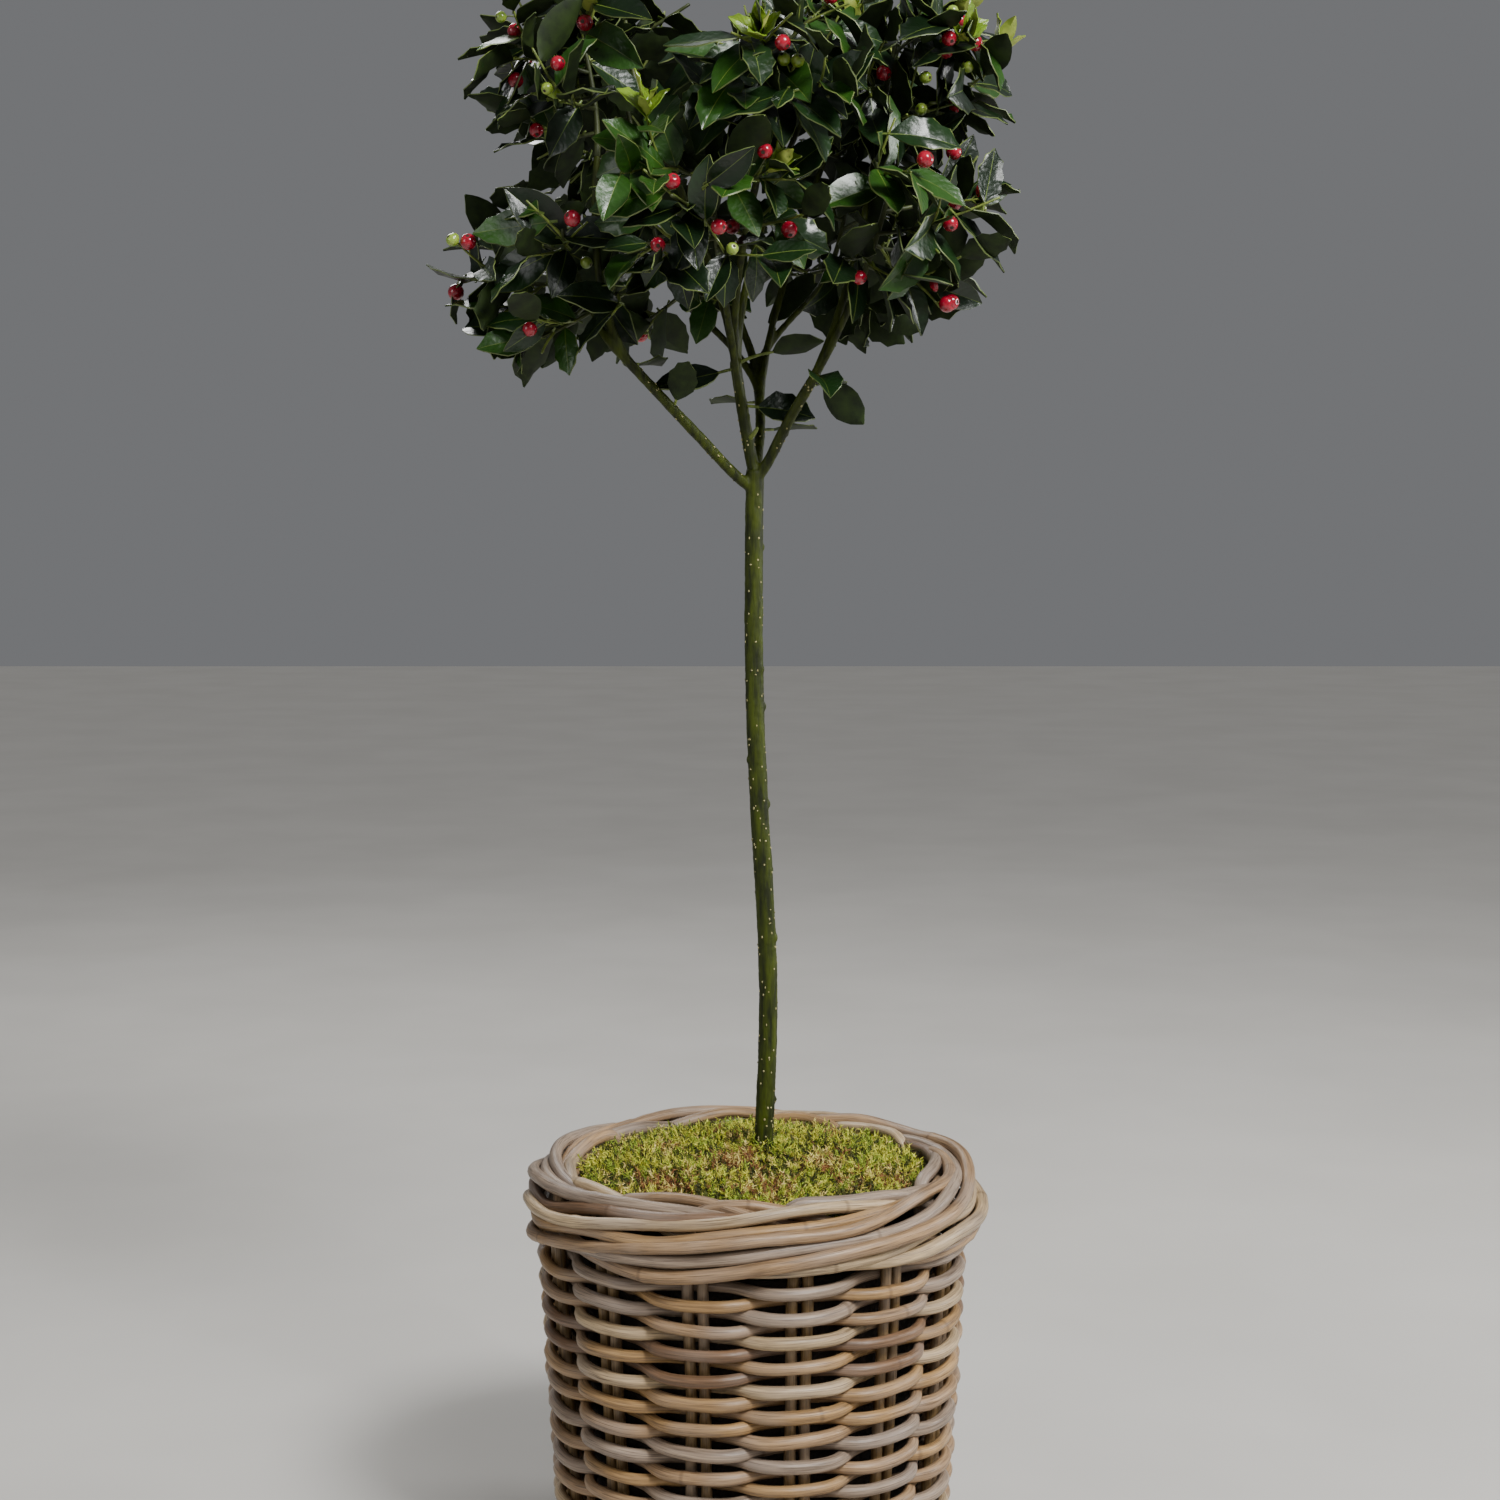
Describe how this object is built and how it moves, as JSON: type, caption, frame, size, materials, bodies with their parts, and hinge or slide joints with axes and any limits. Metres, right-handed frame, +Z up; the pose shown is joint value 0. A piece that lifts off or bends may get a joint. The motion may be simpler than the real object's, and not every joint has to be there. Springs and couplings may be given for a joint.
{
  "type": "holly tree in a basket",
  "caption": "Holly grown as a slim standard: a bare green stem with a loose round head of spiny leaves and red berries, planted under moss in a round woven cane basket.",
  "frame": {"origin": "centre of the flat underside of the basket, at floor level", "axes": "+Z up along the stem, -Y towards the front, +X to the right seen from the front"},
  "size_m": [0.438, 0.4021, 1.226],
  "materials": {
    "cane": "satin",
    "soil": "matte",
    "moss": "matte",
    "bark": "satin",
    "foliage": "gloss"
  },
  "bodies": {
    "root": {"basket_base": "cane", "basket_wall": "cane", "basket_border": "cane", "soil": "soil", "moss": "moss", "trunk": "bark", "bough_left": "bark", "bough_leader": "bark", "bough_right": "bark", "bough_rear": "bark", "branch_low_left": "bark", "leaves_low_left": "foliage", "branch_low_front": "bark", "leaves_low_front": "foliage", "branch_low_right": "bark", "leaves_low_right": "foliage", "branch_low_back_right": "bark", "leaves_low_back_right": "foliage", "branch_low_back_left": "bark", "leaves_low_back_left": "foliage", "branch_high_left": "bark", "leaves_high_left": "foliage", "branch_high_front": "bark", "leaves_high_front": "foliage", "branch_high_right": "bark", "leaves_high_right": "foliage", "branch_high_back_left": "bark", "leaves_high_back_left": "foliage", "branch_high_back_right": "bark", "leaves_high_back_right": "foliage", "branch_top_left": "bark", "leaves_top_left": "foliage", "branch_top_right": "bark", "leaves_top_right": "foliage"}
  },
  "joints": []
}
